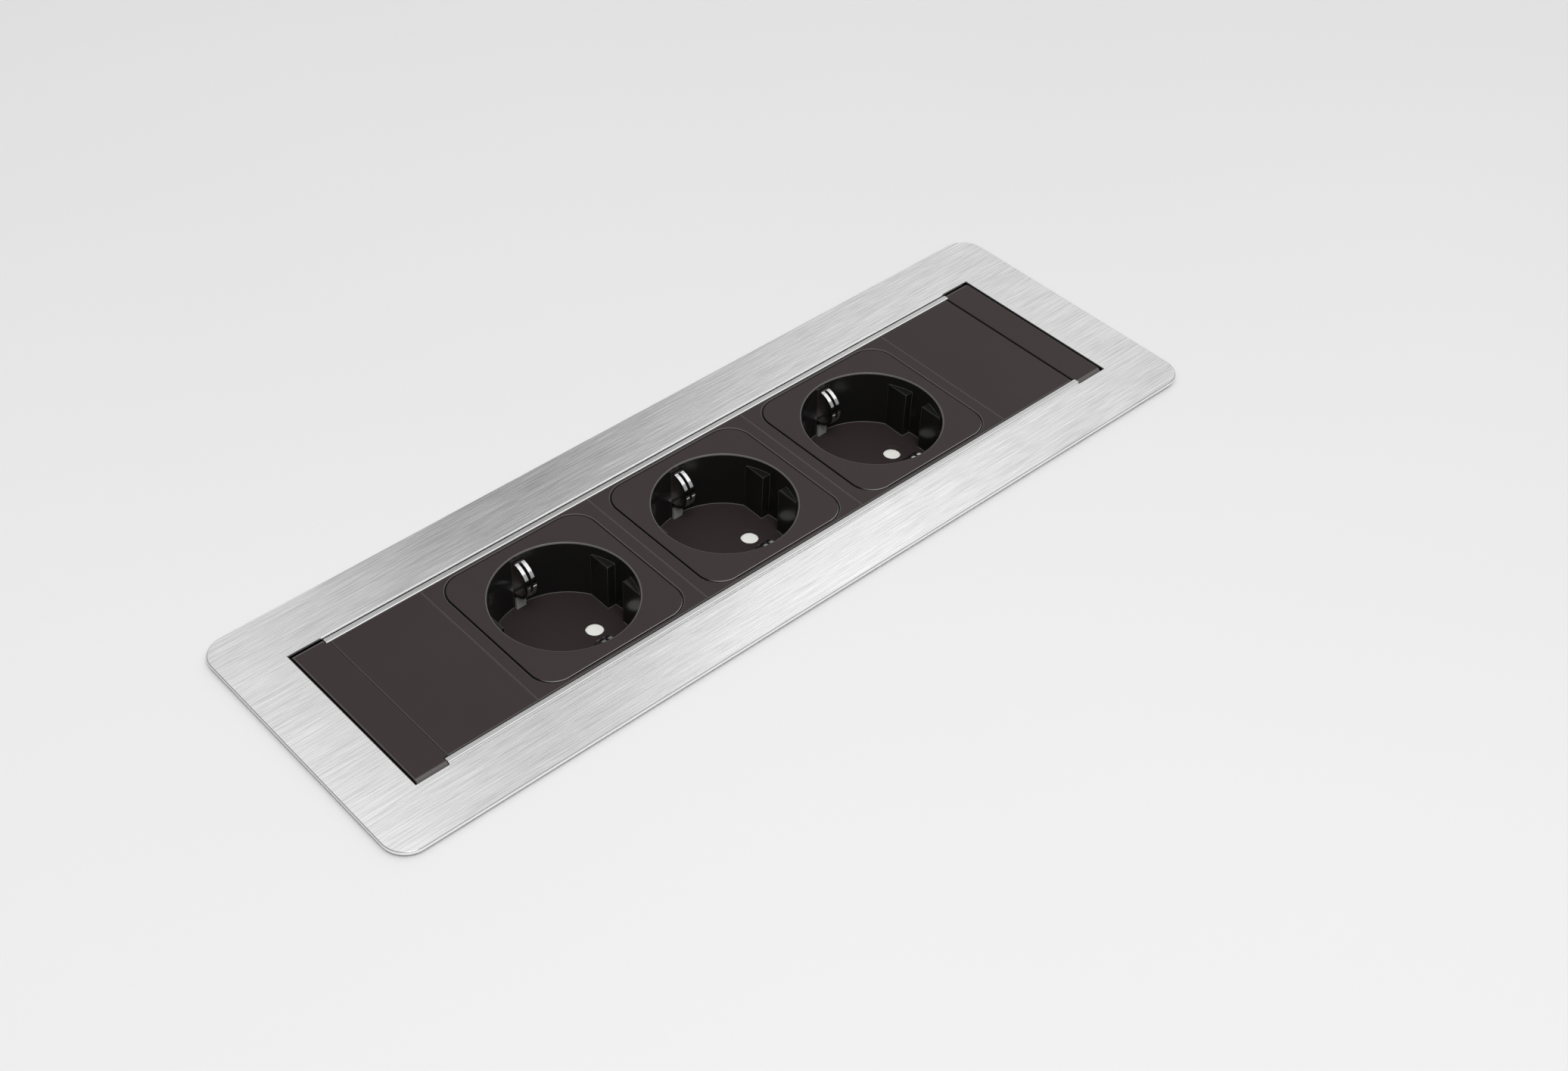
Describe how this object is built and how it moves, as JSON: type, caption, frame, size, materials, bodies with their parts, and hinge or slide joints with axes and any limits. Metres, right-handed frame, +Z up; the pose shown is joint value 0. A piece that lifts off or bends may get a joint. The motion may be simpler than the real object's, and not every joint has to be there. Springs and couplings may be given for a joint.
{
  "type": "built-in power strip",
  "caption": "Desktop power strip for a cut-out: a flat frame round a body that turns half a turn, with round earthed wells on one side and a plain cover on the other.",
  "frame": {"origin": "middle of the worktop cut-out, level with the worktop's upper face, where the seal rests", "axes": "+X along the strip, from the end with the pivot pin to the end with the cable inlet, +Y from the front rail to the back rail, +Z up out of the worktop"},
  "size_m": [0.27, 0.0864, 0.0588],
  "materials": {
    "frame_steel": "stainless, brushed along its length",
    "seal_foam": "black closed-cell foam",
    "zinc_steel": "zinc plated",
    "housing_plastic": "black, lightly grained",
    "screw_steel": "zinc plated",
    "rivet_steel": "plain steel",
    "bush_plastic": "natural, slippery",
    "spring_steel": "bare spring steel",
    "inlet_rubber": "black, smooth",
    "rail_aluminium": "satin anodised",
    "cap_plastic": "anthracite, very finely grained",
    "cover_steel": "stainless, brushed along its length",
    "plate_plastic": "anthracite, very finely grained",
    "pin_steel": "turned steel",
    "trunnion_plastic": "black, smooth",
    "contact_brass": "plain stamped brass",
    "terminal_plastic": "off-white, flame-proof",
    "insert_plastic": "anthracite, grained face with a glossy well",
    "clip_steel": "bright nickel",
    "shutter_plastic": "white",
    "carrier_plastic": "dark grey"
  },
  "bodies": {
    "housing": {"cover_frame": "frame_steel", "frame_seal": "seal_foam", "frame_studs": "zinc_steel", "frame_nuts": "zinc_steel", "housing_trough": "housing_plastic", "housing_end_left": "housing_plastic", "housing_end_right": "housing_plastic", "housing_screws": "screw_steel", "grip_rivets": "rivet_steel", "pivot_bush_left": "bush_plastic", "pivot_bush_right": "bush_plastic", "detent_spring": "spring_steel", "cable_inlet": "inlet_rubber", "grip_spring_front_left": "spring_steel", "grip_spring_front_right": "spring_steel", "grip_spring_back_left": "spring_steel", "grip_spring_back_right": "spring_steel"},
    "turning_unit": {"side_rail_front": "rail_aluminium", "side_rail_back": "rail_aluminium", "end_cap_left": "cap_plastic", "end_cap_right": "cap_plastic", "cap_screws": "screw_steel", "underside_cover": "cover_steel", "blank_plate_left": "plate_plastic", "blank_plate_right": "plate_plastic", "pivot_pin": "pin_steel", "cable_trunnion": "trunnion_plastic", "detent_cam": "bush_plastic", "live_bar": "contact_brass", "neutral_bar": "contact_brass", "earth_bar": "contact_brass", "carrier_screws": "screw_steel", "terminal_block": "terminal_plastic", "terminal_screws": "screw_steel", "socket_insert_1": "insert_plastic", "earth_clip_1": "clip_steel", "shutter_spring_1": "spring_steel", "contact_carrier_1": "carrier_plastic", "socket_insert_2": "insert_plastic", "earth_clip_2": "clip_steel", "shutter_spring_2": "spring_steel", "contact_carrier_2": "carrier_plastic", "socket_insert_3": "insert_plastic", "earth_clip_3": "clip_steel", "shutter_spring_3": "spring_steel", "contact_carrier_3": "carrier_plastic"},
    "shutter_body_1": {"shutter_1": "shutter_plastic"},
    "shutter_body_2": {"shutter_2": "shutter_plastic"},
    "shutter_body_3": {"shutter_3": "shutter_plastic"}
  },
  "joints": [
    {"name": "unit_flip", "type": "hinge", "parent": "housing", "child": "turning_unit", "pos_m": [0, 0, -0.0185], "axis": [1, 0, 0], "range_deg": [0, 180], "deforming": ["detent_spring"]},
    {"name": "shutter_1_turn", "type": "hinge", "parent": "turning_unit", "child": "shutter_body_1", "pos_m": [-0.054, 0, -0.0185], "axis": [0, 0, 1], "range_deg": [0, 36], "stiffness_Nm_per_rad": 0.001, "springref_deg": -20.05, "deforming": ["shutter_spring_1"]},
    {"name": "shutter_2_turn", "type": "hinge", "parent": "turning_unit", "child": "shutter_body_2", "pos_m": [0, 0, -0.0185], "axis": [0, 0, 1], "range_deg": [0, 36], "stiffness_Nm_per_rad": 0.001, "springref_deg": -20.05, "deforming": ["shutter_spring_2"]},
    {"name": "shutter_3_turn", "type": "hinge", "parent": "turning_unit", "child": "shutter_body_3", "pos_m": [0.054, 0, -0.0185], "axis": [0, 0, 1], "range_deg": [0, 36], "stiffness_Nm_per_rad": 0.001, "springref_deg": -20.05, "deforming": ["shutter_spring_3"]}
  ]
}
